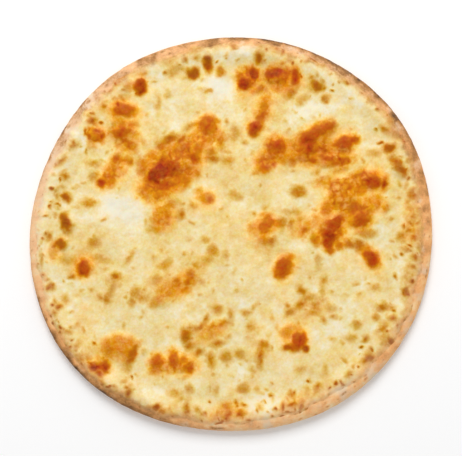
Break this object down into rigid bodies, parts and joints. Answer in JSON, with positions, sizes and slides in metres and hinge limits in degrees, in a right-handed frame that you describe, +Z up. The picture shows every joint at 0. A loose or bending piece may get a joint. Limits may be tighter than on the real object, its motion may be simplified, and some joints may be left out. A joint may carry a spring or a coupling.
{
  "type": "cheese manakish",
  "caption": "Round flatbread with a softly rounded crust, covered almost to its edge by a sheet of melted cheese with browned blisters.",
  "frame": {"origin": "centre of the flat base, under the middle of the bread's bounding box", "axes": "+Z up through the cheese; +Y towards the side that is uppermost in a picture from straight above, +X to its right"},
  "size_m": [0.2412, 0.2362, 0.0121],
  "materials": {
    "baked_dough": "matt baked crust, tan to orange brown on the rim, pale and spotted underneath",
    "melted_cheese": "soft sheen, cream with gold, orange brown and dark brown toasted blisters"
  },
  "bodies": {
    "root": {"dough": "baked_dough", "cheese": "melted_cheese"}
  },
  "joints": []
}
